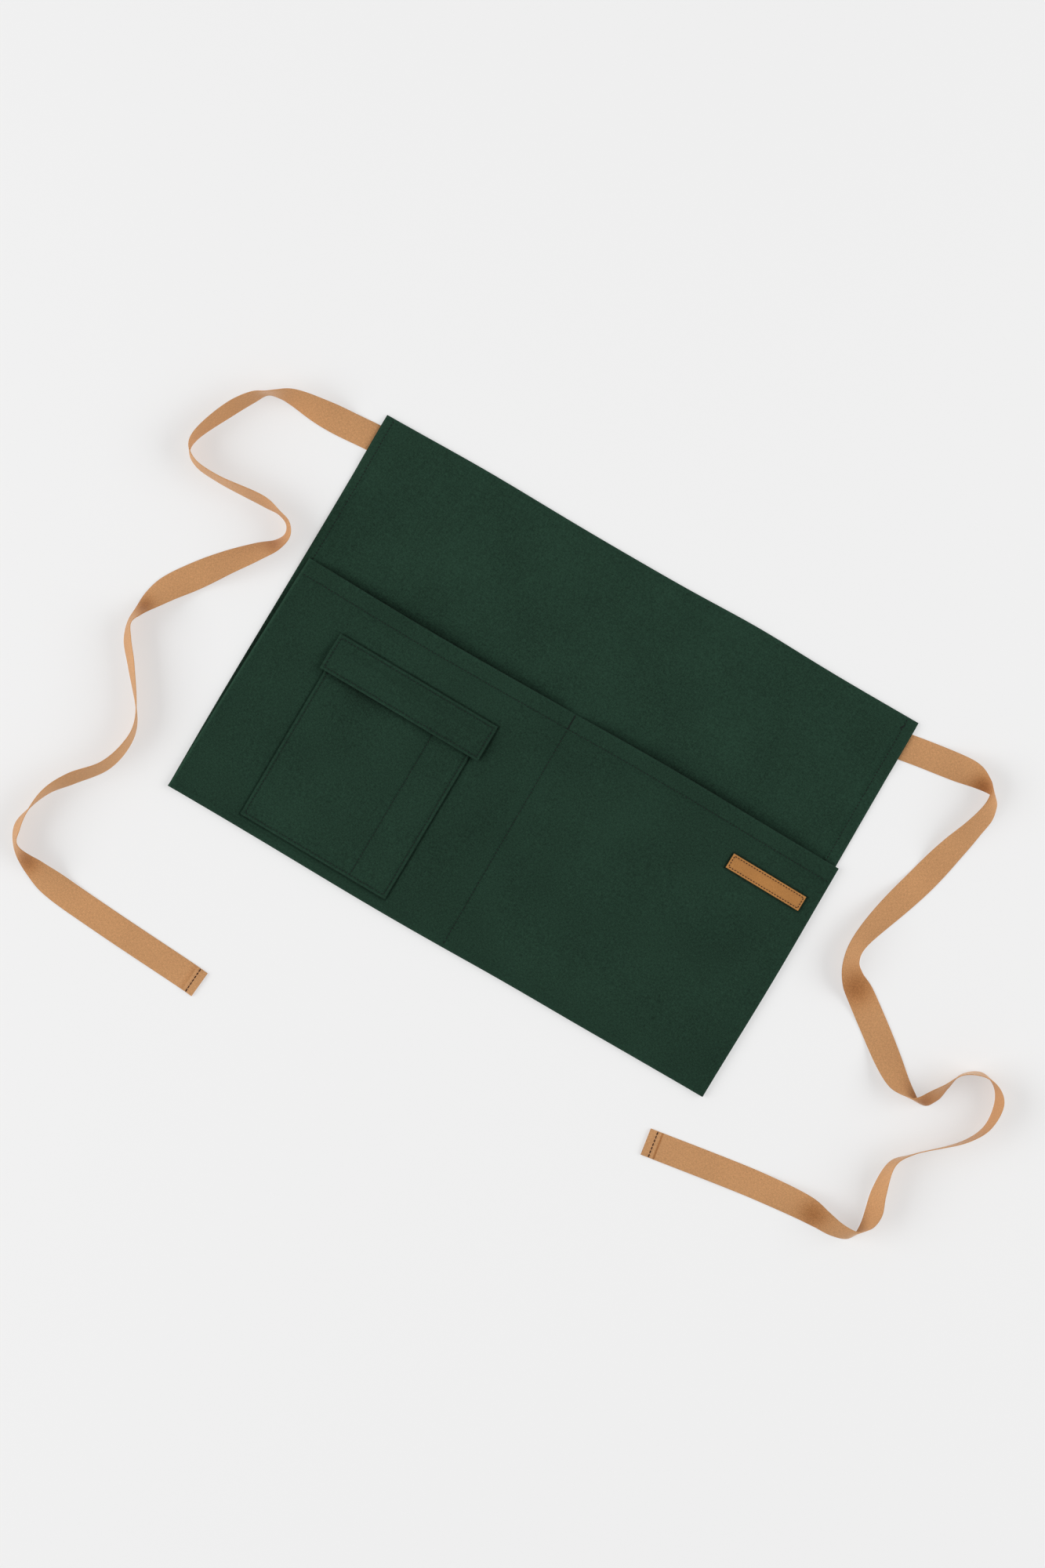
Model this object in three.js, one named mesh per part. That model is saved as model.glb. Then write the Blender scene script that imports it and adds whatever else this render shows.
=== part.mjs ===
// Waist apron for garden work, lying flat and face up: a canvas panel with two deep pockets,
// a flapped patch pocket, a leather strip and two cotton tape ties.
// Millimetres. X runs along the waist, Y runs up to the waist edge and Z is up.
// The origin is the middle of the panel's underside.
import * as THREE from "three";

const { clamp, lerp, smoothstep, degToRad } = THREE.MathUtils;

// Cloth and clearances
const CLOTH = 1.2;
const FOLD_RISE = 0.9;
const FOLD_RAMP = 2;
const GAP = 0.3;

// Body panel
const BODY_WIDTH = 540;
const BODY_HEIGHT = 380;
const SIDE_HEM = 9;
const WAIST_HEM = 19;
const HALF_WIDTH = BODY_WIDTH / 2;
const HALF_HEIGHT = BODY_HEIGHT / 2;

// Pocket panel: its mouth sits a little to the right of its foot and drops to the right
const MOUTH_LEFT_Y = 47.5;
const MOUTH_RIGHT_Y = 43.5;
const MOUTH_LEFT_INSET = 4;
const MOUTH_RIGHT_OVERHANG = 3;
const MOUTH_HEM = 15.5;
const POCKET_SEAM = 4;
const POCKET_EDGE_FOLD = 5;
const POCKET_GAPE = 7;
const ARCH_SHARPNESS = 4;
const DIVIDER_X = 6.3;
const DIVIDER_SEAM = 4;

// Patch pocket and its flap, measured along their own edges and leaning together
const PATCH_CENTRE_X = -130.5;
const PATCH_WIDTH = 148;
const PATCH_FOOT_Y = -180.5;
const PATCH_MOUTH_Y = -15;
const PATCH_SEAM = 3;
const PATCH_GAPE = 1.8;
const PEN_SLOT_WIDTH = 37.6;
const PATCH_LEAN = degToRad(-0.6);
const FLAP_CENTRE_X = -128.75;
const FLAP_WIDTH = 161.5;
const FLAP_TOP_Y = 1.4;
const FLAP_FOOT_Y = -33.7;
const FLAP_SEAM = 5;
const FLAP_THICK = 2;
const FLAP_LIFT = 4.2;
const FLAP_END_DROOP = 0.45;
const FLAP_END_SHARPNESS = 6;

// Leather strip
const LABEL_CENTRE_X = 225.4;
const LABEL_CENTRE_Y = 0.8;
const LABEL_WIDTH = 75;
const LABEL_HEIGHT = 14.3;
const LABEL_THICK = 1.6;
const LABEL_LEAN = degToRad(-1);

// Ties: cotton tape, tucked into a hollow under each waist corner
const TAPE_WIDTH = 25;
const TAPE_THICK = 1;
const TAPE_FLOOR = 0.05;
const TUCK_DEPTH = 26;
const TUCK_LOW_Y = 147;
const TUCK_HIGH_Y = 182;
const TUCK_CEILING = TAPE_FLOOR + TAPE_THICK + GAP;

// Finishes
const CANVAS_GREEN = 0x24392e;
const CANVAS_ROUGHNESS = 0.9;
const TAPE_TAN = 0xc29468;
const TAPE_ROUGHNESS = 0.85;
const LEATHER_TAN = 0xb9824b;
const LEATHER_ROUGHNESS = 0.6;

// How finely each sheet and tape is divided
const BODY_GRID = { columns: 9, rows: 8 };
const POCKET_GRID = { columns: 11, rows: 10 };
const PATCH_GRID = { columns: 9, slotColumns: 6, rows: 8 };
const FLAP_GRID = { columns: 17, riseRows: 6, freeRows: 4 };
const LABEL_GRID = { columns: 9, rows: 3 };
const STEPS_PER_ROW = 3;
const HEADING_ROWS = 0.75;

// Tie routes from the tucked end to the folded end. The tape lies flat at a roll of 0 or 180
// degrees and stands on one edge at 90, which is how it turns a corner. The last two rows hold
// the folded end.
const TIE_LEFT_ROUTE = [
  { x: -246, y: 168, roll: 180 },
  { x: -272, y: 167, roll: 180 },
  { x: -297, y: 165, roll: 176 },
  { x: -322, y: 163, roll: 151 },
  { x: -351, y: 161, roll: 118 },
  { x: -363, y: 157, roll: 99 },
  { x: -371, y: 153, roll: 91 },
  { x: -380, y: 144, roll: 104 },
  { x: -392, y: 125, roll: 111 },
  { x: -407, y: 87, roll: 96 },
  { x: -404, y: 74, roll: 83 },
  { x: -394, y: 68, roll: 81 },
  { x: -372, y: 66, roll: 80 },
  { x: -325, y: 69, roll: 73 },
  { x: -308, y: 67, roll: 84 },
  { x: -298, y: 63, roll: 80 },
  { x: -293, y: 54, roll: 72 },
  { x: -296, y: 43, roll: 63 },
  { x: -308, y: 29, roll: 46 },
  { x: -327, y: 7, roll: 27 },
  { x: -347, y: -19, roll: 8 },
  { x: -361, y: -39, roll: 20 },
  { x: -368, y: -54, roll: 39 },
  { x: -373, y: -70, roll: 64 },
  { x: -375, y: -82, roll: 74 },
  { x: -369, y: -96, roll: 67 },
  { x: -354, y: -115, roll: 69 },
  { x: -326, y: -155, roll: 87 },
  { x: -323, y: -176, roll: 98 },
  { x: -330, y: -202, roll: 107 },
  { x: -350, y: -227, roll: 112 },
  { x: -363, y: -247, roll: 99 },
  { x: -369, y: -269, roll: 82 },
  { x: -370, y: -288, roll: 67 },
  { x: -364, y: -302, roll: 72 },
  { x: -337, y: -313, roll: 35 },
  { x: -312, y: -318, roll: 6 },
  { x: -266, y: -322, roll: 0 },
  { x: -173, y: -328, roll: 0 },
  { x: -162, y: -329, roll: 0 },
];
const TIE_RIGHT_ROUTE = [
  { x: 246, y: 162, roll: -180 },
  { x: 272, y: 166, roll: -180 },
  { x: 290, y: 169, roll: -180 },
  { x: 319, y: 173, roll: -168 },
  { x: 340, y: 175, roll: -140 },
  { x: 354, y: 173, roll: -106 },
  { x: 362, y: 166, roll: -68 },
  { x: 364, y: 152, roll: -49 },
  { x: 360, y: 133, roll: -40 },
  { x: 353, y: 107, roll: -20 },
  { x: 345, y: 74, roll: 0 },
  { x: 323, y: -5, roll: -46 },
  { x: 325, y: -21, roll: -48 },
  { x: 333, y: -33, roll: -34 },
  { x: 349, y: -44, roll: -8 },
  { x: 376, y: -64, roll: 0 },
  { x: 398, y: -81, roll: -14 },
  { x: 415, y: -93, roll: -37 },
  { x: 426, y: -98, roll: -62 },
  { x: 435, y: -100, roll: -92 },
  { x: 442, y: -97, roll: -118 },
  { x: 447, y: -89, roll: -124 },
  { x: 453, y: -75, roll: -110 },
  { x: 460, y: -59, roll: -96 },
  { x: 476, y: -50, roll: -86 },
  { x: 490, y: -53, roll: -92 },
  { x: 500, y: -64, roll: -99 },
  { x: 502, y: -88, roll: -92 },
  { x: 492, y: -108, roll: -86 },
  { x: 457, y: -142, roll: -81 },
  { x: 446, y: -157, roll: -93 },
  { x: 448, y: -185, roll: -113 },
  { x: 453, y: -203, roll: -120 },
  { x: 454, y: -215, roll: -108 },
  { x: 451, y: -225, roll: -85 },
  { x: 445, y: -231, roll: -63 },
  { x: 432, y: -233, roll: -50 },
  { x: 417, y: -232, roll: -38 },
  { x: 400, y: -231, roll: -18 },
  { x: 348, y: -236, roll: 0 },
  { x: 262, y: -249, roll: 0 },
  { x: 249, y: -251, roll: 0 },
];

// Sharp turns of the ties, where the tape folds over itself: its cross-lines slant along it there
const TURNS = [
  { x: 357, y: 172, reach: 23, slant: -42 },
  { x: 432, y: -99, reach: 20, slant: -41 },
  { x: 452, y: -221, reach: 15, slant: -21 },
];

// Evenly spaced values from start to end, both included
function spread(start, end, count) {
  return Array.from({ length: count }, (_, i) => lerp(start, end, i / (count - 1)));
}

// One on a folded edge as wide as the hem, falling to nothing just inside it
function foldShare(inset, hem) {
  return 1 - smoothstep(inset, hem, hem + FOLD_RAMP);
}

// Flat-topped arch across a compartment whose seams are at low and high
function arch(value, low, high) {
  const share = clamp((2 * value - low - high) / (high - low), -1, 1);
  return 1 - share ** ARCH_SHARPNESS;
}

// Rise from a closed foot to an open mouth
function openTowards(value, foot, mouth) {
  const share = clamp((value - foot) / (mouth - foot), 0, 1);
  return 1 - (1 - share) ** 2;
}

// Closed sheet over rows of plan points, from an under height to an upper height
function sheetSolid(rows, under, over) {
  const across = rows[0].length;
  const points = rows.flat();
  const positions = [];
  for (const height of [under, over]) {
    for (const { x, y } of points) {
      positions.push(x, y, height(x, y));
    }
  }
  const index = [];
  const quad = (a, b, c, d) => index.push(a, b, c, a, c, d);
  const lift = points.length;
  for (let row = 0; row < rows.length - 1; row += 1) {
    for (let column = 0; column < across - 1; column += 1) {
      const a = row * across + column;
      const b = a + 1;
      const c = b + across;
      const d = a + across;
      quad(lift + a, lift + b, lift + c, lift + d);
      quad(a, d, c, b);
    }
  }
  const rim = rimOrder(rows.length, across);
  rim.forEach((a, i) => {
    const b = rim[(i + 1) % rim.length];
    quad(a, b, lift + b, lift + a);
  });
  return indexedGeometry(positions, index);
}

// Outline of a grid, counter-clockwise from its first point
function rimOrder(rowCount, across) {
  const rim = [];
  for (let column = 0; column < across; column += 1) {
    rim.push(column);
  }
  for (let row = 1; row < rowCount; row += 1) {
    rim.push(row * across + across - 1);
  }
  for (let column = across - 2; column >= 0; column -= 1) {
    rim.push((rowCount - 1) * across + column);
  }
  for (let row = rowCount - 2; row >= 1; row -= 1) {
    rim.push(row * across);
  }
  return rim;
}

function indexedGeometry(positions, index) {
  const geometry = new THREE.BufferGeometry();
  geometry.setAttribute("position", new THREE.Float32BufferAttribute(positions, 3));
  geometry.setIndex(index);
  geometry.computeVertexNormals();
  return geometry;
}

function gridRows(xs, ys) {
  return ys.map((y) => xs.map((x) => ({ x, y })));
}

// Body panel: flat underside, doubled cloth at the hems, and a hollow under each waist corner
function tuckLift(x, y) {
  const inset = HALF_WIDTH - Math.abs(x);
  const acrossShare = foldShare(inset, TUCK_DEPTH);
  const lowShare = smoothstep(y, TUCK_LOW_Y - FOLD_RAMP, TUCK_LOW_Y);
  const highShare = 1 - smoothstep(y, TUCK_HIGH_Y, TUCK_HIGH_Y + FOLD_RAMP);
  return TUCK_CEILING * acrossShare * lowShare * highShare;
}

function bodyTop(x, y) {
  const sideShare = foldShare(HALF_WIDTH - Math.abs(x), SIDE_HEM);
  const waistShare = foldShare(HALF_HEIGHT - y, WAIST_HEM);
  return tuckLift(x, y) + CLOTH + FOLD_RISE * Math.max(sideShare, waistShare);
}

function bodyPanel() {
  const insets = [0, SIDE_HEM, SIDE_HEM + FOLD_RAMP, TUCK_DEPTH, TUCK_DEPTH + FOLD_RAMP];
  const leftXs = insets.map((inset) => inset - HALF_WIDTH);
  const rightXs = insets.map((inset) => HALF_WIDTH - inset).reverse();
  const fieldHalf = HALF_WIDTH - TUCK_DEPTH - FOLD_RAMP;
  const fieldXs = spread(-fieldHalf, fieldHalf, BODY_GRID.columns).slice(1, -1);
  const fieldYs = spread(-HALF_HEIGHT, TUCK_LOW_Y - FOLD_RAMP, BODY_GRID.rows);
  const hemY = HALF_HEIGHT - WAIST_HEM;
  const waistYs = [TUCK_LOW_Y, hemY - FOLD_RAMP, hemY, TUCK_HIGH_Y, TUCK_HIGH_Y + FOLD_RAMP, HALF_HEIGHT];
  const rows = gridRows([...leftXs, ...fieldXs, ...rightXs], [...fieldYs, ...waistYs]);
  return sheetSolid(rows, tuckLift, bodyTop);
}

// Pocket panel: sewn down at its sides, foot and centre line, gaping at its mouth
function mouthY(x) {
  return lerp(MOUTH_LEFT_Y, MOUTH_RIGHT_Y, (x + HALF_WIDTH) / BODY_WIDTH);
}

// Share of the way from the pocket's foot to its mouth
function pocketShare(x, y) {
  return clamp((y + HALF_HEIGHT) / (mouthY(x) + HALF_HEIGHT), 0, 1);
}

function pocketSides(share) {
  const left = -HALF_WIDTH + MOUTH_LEFT_INSET * share;
  const right = HALF_WIDTH + MOUTH_RIGHT_OVERHANG * share;
  return { left, right };
}

function pocketGape(x, y) {
  const { left, right } = pocketSides(pocketShare(x, y));
  const half = DIVIDER_SEAM / 2;
  const inLeft = x < DIVIDER_X;
  const low = inLeft ? left + POCKET_SEAM : DIVIDER_X + half;
  const high = inLeft ? DIVIDER_X - half : right - POCKET_SEAM;
  const rise = openTowards(y, -HALF_HEIGHT + POCKET_SEAM, mouthY(x));
  return POCKET_GAPE * arch(x, low, high) * rise;
}

function pocketUnder(x, y) {
  return bodyTop(x, y) + GAP + pocketGape(x, y);
}

function pocketTop(x, y) {
  const { left, right } = pocketSides(pocketShare(x, y));
  const sideShare = foldShare(Math.min(x - left, right - x), POCKET_EDGE_FOLD);
  const mouthShare = foldShare(mouthY(x) - y, MOUTH_HEM);
  return pocketUnder(x, y) + CLOTH + FOLD_RISE * Math.max(sideShare, mouthShare);
}

function pocketXs({ left, right }) {
  const half = DIVIDER_SEAM / 2;
  const fold = POCKET_EDGE_FOLD + FOLD_RAMP;
  return [
    left,
    left + POCKET_SEAM,
    ...spread(left + fold, DIVIDER_X - half, POCKET_GRID.columns),
    ...spread(DIVIDER_X + half, right - fold, POCKET_GRID.columns),
    right - POCKET_SEAM,
    right,
  ];
}

function pocketRow(heightAt) {
  const sides = pocketSides(pocketShare(0, heightAt(0)));
  return pocketXs(sides).map((x) => ({ x, y: heightAt(x) }));
}

function pocketPanel() {
  const foot = -HALF_HEIGHT;
  const rows = [pocketRow(() => foot)];
  for (const share of spread(0, 1, POCKET_GRID.rows)) {
    rows.push(pocketRow((x) => lerp(foot + POCKET_SEAM, mouthY(x) - MOUTH_HEM - FOLD_RAMP, share)));
  }
  rows.push(pocketRow((x) => mouthY(x) - MOUTH_HEM));
  rows.push(pocketRow(mouthY));
  return sheetSolid(rows, pocketUnder, pocketTop);
}

// Rows of plan places turned about a pivot
function turned(rows, pivot, angle) {
  return rows.map((row) => row.map(({ x, y }) => new THREE.Vector2(x, y).rotateAround(pivot, angle)));
}

// Patch pocket: two compartments on the left pocket, both open under the flap
function leaning(rows) {
  return turned(rows, new THREE.Vector2(PATCH_CENTRE_X, PATCH_MOUTH_Y), PATCH_LEAN);
}

function upright(x, y) {
  const pivot = new THREE.Vector2(PATCH_CENTRE_X, PATCH_MOUTH_Y);
  return new THREE.Vector2(x, y).rotateAround(pivot, -PATCH_LEAN);
}

function patchGape(x, y) {
  const point = upright(x, y);
  const left = PATCH_CENTRE_X - PATCH_WIDTH / 2 + PATCH_SEAM;
  const right = PATCH_CENTRE_X + PATCH_WIDTH / 2 - PATCH_SEAM;
  const slotSeam = PATCH_CENTRE_X + PATCH_WIDTH / 2 - PEN_SLOT_WIDTH;
  const inPatch = point.x < slotSeam;
  const across = inPatch ? arch(point.x, left, slotSeam) : arch(point.x, slotSeam, right);
  return PATCH_GAPE * across * openTowards(point.y, PATCH_FOOT_Y + PATCH_SEAM, PATCH_MOUTH_Y);
}

function patchUnder(x, y) {
  return pocketTop(x, y) + GAP + patchGape(x, y);
}

function patchTop(x, y) {
  return patchUnder(x, y) + CLOTH;
}

function patchPocket() {
  const left = PATCH_CENTRE_X - PATCH_WIDTH / 2;
  const right = PATCH_CENTRE_X + PATCH_WIDTH / 2;
  const slotSeam = right - PEN_SLOT_WIDTH;
  const wideXs = spread(left + PATCH_SEAM, slotSeam, PATCH_GRID.columns);
  const slotXs = spread(slotSeam, right - PATCH_SEAM, PATCH_GRID.slotColumns).slice(1);
  const ys = [PATCH_FOOT_Y, ...spread(PATCH_FOOT_Y + PATCH_SEAM, PATCH_MOUTH_Y, PATCH_GRID.rows)];
  const rows = leaning(gridRows([left, ...wideXs, ...slotXs, right], ys));
  return sheetSolid(rows, patchUnder, patchTop);
}

// Flap: sewn along its upper edge, carried over the patch pocket's mouth, free below
function flapUnder(x, y) {
  const point = upright(x, y);
  const side = (point.x - FLAP_CENTRE_X) / (FLAP_WIDTH / 2);
  const droop = 1 - FLAP_END_DROOP * Math.abs(side) ** FLAP_END_SHARPNESS;
  const rise = 1 - smoothstep(point.y, PATCH_MOUTH_Y, FLAP_TOP_Y - FLAP_SEAM);
  return pocketTop(x, y) + GAP + FLAP_LIFT * droop * rise;
}

function flapTop(x, y) {
  return flapUnder(x, y) + FLAP_THICK;
}

function pocketFlap() {
  const half = FLAP_WIDTH / 2;
  const xs = spread(FLAP_CENTRE_X - half, FLAP_CENTRE_X + half, FLAP_GRID.columns);
  const freeYs = spread(FLAP_FOOT_Y, PATCH_MOUTH_Y, FLAP_GRID.freeRows).slice(0, -1);
  const riseYs = spread(PATCH_MOUTH_Y, FLAP_TOP_Y - FLAP_SEAM, FLAP_GRID.riseRows);
  const ys = [...freeYs, ...riseYs, FLAP_TOP_Y];
  return sheetSolid(leaning(gridRows(xs, ys)), flapUnder, flapTop);
}

// Leather strip on the right pocket
function labelUnder(x, y) {
  return pocketTop(x, y) + GAP;
}

function labelTop(x, y) {
  return labelUnder(x, y) + LABEL_THICK;
}

function labelPatch() {
  const halfWidth = LABEL_WIDTH / 2;
  const halfHeight = LABEL_HEIGHT / 2;
  const xs = spread(LABEL_CENTRE_X - halfWidth, LABEL_CENTRE_X + halfWidth, LABEL_GRID.columns);
  const ys = spread(LABEL_CENTRE_Y - halfHeight, LABEL_CENTRE_Y + halfHeight, LABEL_GRID.rows);
  const centre = new THREE.Vector2(LABEL_CENTRE_X, LABEL_CENTRE_Y);
  return sheetSolid(turned(gridRows(xs, ys), centre, LABEL_LEAN), labelUnder, labelTop);
}

// Degrees by which the tape's cross-lines slant at a plan place
function turnSlant(x, y) {
  return TURNS.reduce((total, turn) => {
    const away = Math.hypot(x - turn.x, y - turn.y) / turn.reach;
    return total + turn.slant * Math.exp(-(away ** 2));
  }, 0);
}

// Level heading of a route, evened out over the rows beside a place
function headingAt(curve, share) {
  const beside = HEADING_ROWS / (curve.points.length - 1);
  const from = curve.getPoint(Math.max(0, share - beside));
  const to = curve.getPoint(Math.min(1, share + beside));
  return new THREE.Vector3(to.x - from.x, to.y - from.y, 0).normalize();
}

// Tie: a tape whose lower edge lies on the floor all along its route, doubled at its free end
function tapeStation(curve, share, folded) {
  const at = curve.getPoint(share);
  const ahead = headingAt(curve, share);
  const up = new THREE.Vector3(0, 0, 1);
  const left = up.clone().cross(ahead);
  const roll = degToRad(at.z);
  const slant = degToRad(turnSlant(at.x, at.y));
  const steep = up.clone().multiplyScalar(Math.cos(slant)).addScaledVector(ahead, Math.sin(slant));
  const width = left.multiplyScalar(Math.cos(roll)).addScaledVector(steep, Math.sin(roll));
  const face = ahead.clone().cross(width).normalize();
  const reach = TAPE_WIDTH * Math.abs(width.z) + TAPE_THICK * Math.abs(face.z);
  const centre = new THREE.Vector3(at.x, at.y, TAPE_FLOOR + reach / 2);
  const halfWidth = TAPE_WIDTH / 2;
  const back = -TAPE_THICK / 2;
  const front = TAPE_THICK / 2 + (folded ? TAPE_THICK : 0);
  const corners = [[-halfWidth, back], [halfWidth, back], [halfWidth, front], [-halfWidth, front]];
  return corners.map(([along, out]) => {
    return centre.clone().addScaledVector(width, along).addScaledVector(face, out);
  });
}

function tieSolid(route) {
  const points = route.map(({ x, y, roll }) => new THREE.Vector3(x, y, roll));
  const curve = new THREE.CatmullRomCurve3(points);
  const steps = (route.length - 1) * STEPS_PER_ROW;
  const positions = [];
  for (let step = 0; step <= steps; step += 1) {
    const folded = step > steps - STEPS_PER_ROW;
    for (const corner of tapeStation(curve, step / steps, folded)) {
      positions.push(corner.x, corner.y, corner.z);
    }
  }
  const index = [];
  const quad = (a, b, c, d) => index.push(a, b, c, a, c, d);
  for (let step = 0; step < steps; step += 1) {
    const here = step * 4;
    const next = here + 4;
    // The two faces share their diagonals, so they stay parallel where the tape twists
    quad(here, here + 1, next + 1, next);
    quad(here + 3, next + 3, next + 2, here + 2);
    quad(here + 1, here + 2, next + 2, next + 1);
    quad(here + 3, here, next, next + 3);
  }
  const last = steps * 4;
  quad(0, 3, 2, 1);
  quad(last, last + 1, last + 2, last + 3);
  return indexedGeometry(positions, index);
}

function piece(name, geometry, color, roughness) {
  const material = new THREE.MeshStandardMaterial({ color, roughness, metalness: 0 });
  const mesh = new THREE.Mesh(geometry, material);
  mesh.name = name;
  return mesh;
}

const apron = new THREE.Group();
apron.add(
  piece("body_panel", bodyPanel(), CANVAS_GREEN, CANVAS_ROUGHNESS),
  piece("pocket_panel", pocketPanel(), CANVAS_GREEN, CANVAS_ROUGHNESS),
  piece("patch_pocket", patchPocket(), CANVAS_GREEN, CANVAS_ROUGHNESS),
  piece("pocket_flap", pocketFlap(), CANVAS_GREEN, CANVAS_ROUGHNESS),
  piece("label_patch", labelPatch(), LEATHER_TAN, LEATHER_ROUGHNESS),
  piece("tie_left", tieSolid(TIE_LEFT_ROUTE), TAPE_TAN, TAPE_ROUGHNESS),
  piece("tie_right", tieSolid(TIE_RIGHT_ROUTE), TAPE_TAN, TAPE_ROUGHNESS),
);

export default apron;
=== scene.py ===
"""Waist apron for garden work, lying flat: canvas panels, tape ties, a leather strip and the stitching.

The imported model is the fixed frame. Each visible cloth is a fine mesh over the height rules of its
solid, with rounded folds, seams drawn in by their thread and a woven finish.
"""
import math
import bpy
import numpy as np
from bpy.props import FloatProperty, FloatVectorProperty, PointerProperty
from bpy.types import Operator, Panel, PropertyGroup
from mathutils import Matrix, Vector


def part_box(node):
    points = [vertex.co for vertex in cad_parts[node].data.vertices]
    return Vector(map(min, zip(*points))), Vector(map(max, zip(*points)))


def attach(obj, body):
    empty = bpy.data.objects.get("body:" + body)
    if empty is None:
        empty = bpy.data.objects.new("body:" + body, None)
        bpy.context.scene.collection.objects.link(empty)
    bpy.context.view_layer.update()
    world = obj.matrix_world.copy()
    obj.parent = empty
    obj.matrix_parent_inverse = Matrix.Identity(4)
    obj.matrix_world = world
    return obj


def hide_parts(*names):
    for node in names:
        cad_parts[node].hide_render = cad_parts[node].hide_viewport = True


bl_info = {
    "name": "Garden apron",
    "version": (1, 0, 0),
    "blender": (4, 5, 0),
    "location": "3D View > Sidebar > Apron",
    "description": "Lays out a canvas waist apron with pockets, tape ties and a leather strip",
    "category": "Object",
}

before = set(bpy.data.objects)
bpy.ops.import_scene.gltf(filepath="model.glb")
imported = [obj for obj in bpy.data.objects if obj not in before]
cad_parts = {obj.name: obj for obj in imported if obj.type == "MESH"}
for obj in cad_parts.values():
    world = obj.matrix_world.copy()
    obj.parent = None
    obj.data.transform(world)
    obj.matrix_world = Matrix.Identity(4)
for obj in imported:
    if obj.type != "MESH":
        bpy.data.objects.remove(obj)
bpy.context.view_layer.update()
BODY_LOW, BODY_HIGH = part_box("body_panel")
LEFT, FOOT = BODY_LOW.x, BODY_LOW.y
RIGHT, TOP = BODY_HIGH.x, BODY_HIGH.y
MM = 0.001
SEED = 11

# The picture: turn of the apron in it, floor, lamps at both sides and camera.
TURN = math.radians(30.1)
FLOOR_HALF = 6.0
FLOOR_LEVEL = -0.2 * MM
LAMP_ASIDE = 3.8
LAMP_UP = 2.5
CAMERA_PLACE = (-0.0039, -0.032, 2.313)

# Mesh steps, finer rows beside the tucked ties, shift of the pocket's slanted mesh, and steps of a tie.
PANEL_STEP = 3.6 * MM
PATCH_STEP = 2.2 * MM
TUCK_ROWS = (146 * MM, 183 * MM)
MESH_SHIFT = 1.7 * MM
TAPE_STEPS = 12
HEADING_STEPS = 9

# Sewn-on pieces: lean in degrees, inset of the stitches, finer mesh along the edges.
PATCH_LEAN = -0.6
STRIP_LEAN = -1.0
EDGE_SEAM = 3.0 * MM
EDGE_FINE = 4 * MM

# Lines that those pieces press into the cloth: place outside the edge, reach and depth.
PRESSED_OUT = 0.6 * MM
PRESSED_REACH = 0.9 * MM
PRESSED_DEPTH = 0.5 * MM

# Depth of the hems' and the strip's stitches, and shade of the hems, as a share of a seam's.
SHALLOW = 0.4

# Painted shade on the cloth, and for LEFT_LIGHT painted light, where a seam's darkening is 1.
MOUTH_SHADE = 4.5
LEFT_SHADE = 5.2
LEFT_LIGHT = 3.0
FLAP_SHADE = 4.6

# Folded end of a tie: places measured back from its tip.
FOLD_START = 12.0 * MM
FOLD_FULL = 11.2 * MM
FOLD_CREASE = 11.6 * MM
FOLD_SEWN = 7.0 * MM

# Tie routes: plan place in millimetres and roll in degrees, from the tucked end to the free end.
TIE_LEFT = (
    (-246, 168, 180), (-272, 167, 180), (-297, 165, 176), (-322, 163, 151), (-351, 161, 118),
    (-363, 157, 99), (-371, 153, 91), (-380, 144, 104), (-392, 125, 111), (-407, 87, 96),
    (-404, 74, 83), (-394, 68, 81), (-372, 66, 80), (-325, 69, 73), (-308, 67, 84),
    (-298, 63, 80), (-293, 54, 72), (-296, 43, 63), (-308, 29, 46), (-327, 7, 27),
    (-347, -19, 8), (-361, -39, 20), (-368, -54, 39), (-373, -70, 64), (-375, -82, 74),
    (-369, -96, 67), (-354, -115, 69), (-326, -155, 87), (-323, -176, 98), (-330, -202, 107),
    (-350, -227, 112), (-363, -247, 99), (-369, -269, 82), (-370, -288, 67), (-364, -302, 72),
    (-337, -313, 35), (-312, -318, 6), (-266, -322, 0), (-173, -328, 0), (-162, -329, 0),
)
TIE_RIGHT = (
    (246, 162, -180), (272, 166, -180), (290, 169, -180), (319, 173, -168), (340, 175, -140),
    (354, 173, -106), (362, 166, -68), (364, 152, -49), (360, 133, -40), (353, 107, -20),
    (345, 74, 0), (323, -5, -46), (325, -21, -48), (333, -33, -34), (349, -44, -8),
    (376, -64, 0), (398, -81, -14), (415, -93, -37), (426, -98, -62), (435, -100, -92),
    (442, -97, -118), (447, -89, -124), (453, -75, -110), (460, -59, -96), (476, -50, -86),
    (490, -53, -92), (500, -64, -99), (502, -88, -92), (492, -108, -86), (457, -142, -81),
    (446, -157, -93), (448, -185, -113), (453, -203, -120), (454, -215, -108), (451, -225, -85),
    (445, -231, -63), (432, -233, -50), (417, -232, -38), (400, -231, -18), (348, -236, 0),
    (262, -249, 0), (249, -251, 0),
)

# Painted shade in the creases where the ties turn: plan place and reach in millimetres, and how dark it
# is.
CREASE_SHADE = (
    (350, 170, 10, 1.0), (341, -40, 15, 1.0), (443, -96, 8, 0.8), (409, -232, 12, 0.9),
    (-371, -64, 9, 1.1), (-348, -309, 11, 1.1), (-297, 41, 8, 0.7),
)

# Sharp turns, where the tape's cross-lines slant: plan place and reach in millimetres, and degrees.
SLANTS = ((357, 172, 23, -42), (432, -99, 20, -41), (452, -221, 15, -21))

# Painted shade beside the pressed edges, painted light where negative: patch left, foot, right; flap
# left, right, top; the strip's four.
PRESSED_SHADES = (-1.2, 1.9, 1.3, 0.3, 2.3, 2.0, 1.9, 1.9, 1.9, 1.9)


def length(name, millimetres, description):
    """A length setting, given in millimetres."""
    return FloatProperty(
        name=name, description=description, default=millimetres * MM, unit="LENGTH", precision=5
    )


def colour(name, value, description):
    """A colour setting."""
    return FloatVectorProperty(
        name=name, description=description, default=value, size=3, subtype="COLOR", min=0.0, max=1.0
    )


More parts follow.
